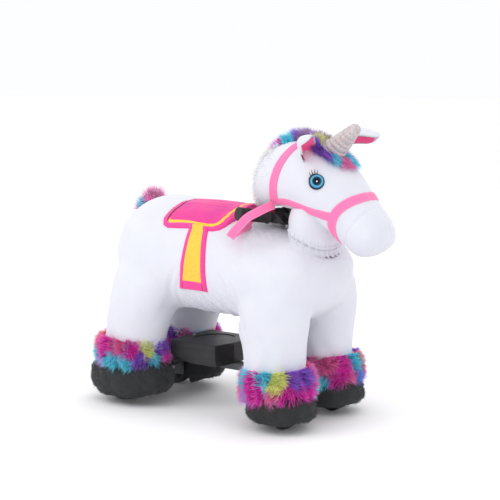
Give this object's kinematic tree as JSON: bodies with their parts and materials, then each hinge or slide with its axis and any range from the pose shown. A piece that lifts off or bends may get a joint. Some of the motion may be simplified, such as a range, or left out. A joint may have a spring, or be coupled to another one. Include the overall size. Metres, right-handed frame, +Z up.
{
  "type": "plush ride on unicorn",
  "caption": "Stuffed unicorn a child sits on, over a wheeled tube frame, with a steering handlebar, a bridle and reins, a saddle and a battery drive hidden in the hooves.",
  "frame": {"origin": "centre of the footprint of the whole toy, on the floor under the wheels", "axes": "+X forward towards the nose, +Y to the animal's left, +Z up"},
  "size_m": [0.787, 0.3834, 0.6919],
  "materials": {
    "axle_bracket_left": "dark grey powder coat",
    "axle_bracket_right": "dark grey powder coat",
    "battery": "satin dark grey case",
    "battery_lid": "moulded black",
    "battery_tray": "moulded black",
    "bridle": "woven pink webbing",
    "charge_socket": "moulded black",
    "drive_gear": "natural nylon",
    "ear_left": "short white plush pile",
    "ear_right": "short white plush pile",
    "eye_left": "glossy printed eye",
    "eye_right": "glossy printed eye",
    "forelock": "long rainbow faux fur",
    "fork_left": "dark grey powder coat",
    "fork_right": "dark grey powder coat",
    "front_left_cuff": "long rainbow faux fur",
    "front_left_hoof": "short charcoal plush pile",
    "front_left_leg": "short white plush pile",
    "front_leg_hoop": "dark grey powder coat",
    "front_right_cuff": "long rainbow faux fur",
    "front_right_hoof": "short charcoal plush pile",
    "front_right_leg": "short white plush pile",
    "front_wheel_left": "moulded black wheel",
    "front_wheel_right": "moulded black wheel",
    "gearbox_housing": "moulded black",
    "grip_left": "textured black",
    "grip_right": "textured black",
    "handlebar": "moulded black",
    "head_plush": "short white plush pile",
    "horn": "pale iridescent glitter cloth",
    "lid_screw": "plain steel",
    "lower_chassis": "dark grey powder coat",
    "mane": "long rainbow faux fur",
    "motor": "plain steel",
    "motor_lead": "moulded black",
    "motor_pinion": "plain steel",
    "neck_plush": "short white plush pile",
    "neck_stem": "dark grey powder coat",
    "power_switch": "dark red",
    "rear_axle": "plain steel",
    "rear_left_cuff": "long rainbow faux fur",
    "rear_left_hoof": "short charcoal plush pile",
    "rear_left_leg": "short white plush pile",
    "rear_leg_hoop": "dark grey powder coat",
    "rear_right_cuff": "long rainbow faux fur",
    "rear_right_hoof": "short charcoal plush pile",
    "rear_right_leg": "short white plush pile",
    "rear_wheel_left": "moulded black wheel",
    "rear_wheel_right": "moulded black wheel",
    "reins": "woven pink webbing",
    "saddle_pad": "pink velour with yellow trim",
    "seat_board": "plain birch board",
    "spine_tube": "dark grey powder coat",
    "steering_column": "plain steel",
    "stirrup_strap": "pink velour with yellow trim",
    "tail": "long rainbow faux fur",
    "throttle_button": "dark red",
    "tie_bar": "plain steel",
    "torso_plush": "short white plush pile"
  },
  "bodies": {
    "frame": {"axle_bracket_left": "axle_bracket_left", "axle_bracket_right": "axle_bracket_right", "battery": "battery", "battery_lid": "battery_lid", "battery_tray": "battery_tray", "bridle": "bridle", "charge_socket": "charge_socket", "ear_left": "ear_left", "ear_right": "ear_right", "eye_left": "eye_left", "eye_right": "eye_right", "forelock": "forelock", "front_left_cuff": "front_left_cuff", "front_left_hoof": "front_left_hoof", "front_left_leg": "front_left_leg", "front_leg_hoop": "front_leg_hoop", "front_right_cuff": "front_right_cuff", "front_right_hoof": "front_right_hoof", "front_right_leg": "front_right_leg", "gearbox_housing": "gearbox_housing", "head_plush": "head_plush", "horn": "horn", "lid_screw": "lid_screw", "lower_chassis": "lower_chassis", "mane": "mane", "motor": "motor", "motor_lead": "motor_lead", "neck_plush": "neck_plush", "neck_stem": "neck_stem", "rear_left_cuff": "rear_left_cuff", "rear_left_hoof": "rear_left_hoof", "rear_left_leg": "rear_left_leg", "rear_leg_hoop": "rear_leg_hoop", "rear_right_cuff": "rear_right_cuff", "rear_right_hoof": "rear_right_hoof", "rear_right_leg": "rear_right_leg", "reins": "reins", "saddle_pad": "saddle_pad", "seat_board": "seat_board", "spine_tube": "spine_tube", "stirrup_strap": "stirrup_strap", "tail": "tail", "torso_plush": "torso_plush"},
    "steering": {"steering_column": "steering_column", "handlebar": "handlebar", "grip_left": "grip_left", "grip_right": "grip_right"},
    "throttle": {"throttle_button": "throttle_button"},
    "link": {"tie_bar": "tie_bar"},
    "fork_left": {"fork_left": "fork_left"},
    "fork_right": {"fork_right": "fork_right"},
    "front_wheel_left": {"front_wheel_left": "front_wheel_left"},
    "front_wheel_right": {"front_wheel_right": "front_wheel_right"},
    "axle": {"rear_axle": "rear_axle", "rear_wheel_left": "rear_wheel_left", "rear_wheel_right": "rear_wheel_right", "drive_gear": "drive_gear"},
    "pinion": {"motor_pinion": "motor_pinion"},
    "switch": {"power_switch": "power_switch"}
  },
  "joints": [
    {"name": "steer", "type": "hinge", "parent": "frame", "child": "steering", "pos_m": [0.1175, 0, 0.468], "axis": [0, 0, 1], "range_deg": [-18, 18]},
    {"name": "throttle_press", "type": "slide", "parent": "steering", "child": "throttle", "axis": [0, 0, 1], "range_m": [-0.0025, 0], "stiffness_N_per_m": 300, "springref_m": 0.0005},
    {"name": "link_swing", "type": "hinge", "parent": "steering", "child": "link", "pos_m": [0.0775, 0, 0.0668], "axis": [0, 0, 1], "range_deg": [-18, 18]},
    {"name": "fork_left_turn", "type": "hinge", "parent": "frame", "child": "fork_left", "pos_m": [0.18, 0.104, 0.06], "axis": [0, 0, 1], "range_deg": [-18, 18]},
    {"name": "fork_right_turn", "type": "hinge", "parent": "frame", "child": "fork_right", "pos_m": [0.18, -0.104, 0.06], "axis": [0, 0, 1], "range_deg": [-18, 18]},
    {"name": "front_left_spin", "type": "hinge", "parent": "fork_left", "child": "front_wheel_left", "pos_m": [0.18, 0.104, 0.026], "axis": [0, 1, 0], "continuous": true},
    {"name": "front_right_spin", "type": "hinge", "parent": "fork_right", "child": "front_wheel_right", "pos_m": [0.18, -0.104, 0.026], "axis": [0, 1, 0], "continuous": true},
    {"name": "axle_spin", "type": "hinge", "parent": "frame", "child": "axle", "pos_m": [-0.307, 0, 0.045], "axis": [0, 1, 0], "continuous": true},
    {"name": "pinion_spin", "type": "hinge", "parent": "frame", "child": "pinion", "pos_m": [-0.27109, 0, 0.0633], "axis": [0, 1, 0], "continuous": true},
    {"name": "switch_rock", "type": "hinge", "parent": "frame", "child": "switch", "pos_m": [-0.1425, 0.0785, 0.1355], "axis": [0, 0, 1], "range_deg": [-8, 8]}
  ],
  "couplings": [
    {"joint": "link_swing", "follows": "steer", "ratio": -1},
    {"joint": "fork_left_turn", "follows": "steer", "ratio": 1},
    {"joint": "fork_right_turn", "follows": "steer", "ratio": 1},
    {"joint": "pinion_spin", "follows": "axle_spin", "ratio": -3}
  ]
}
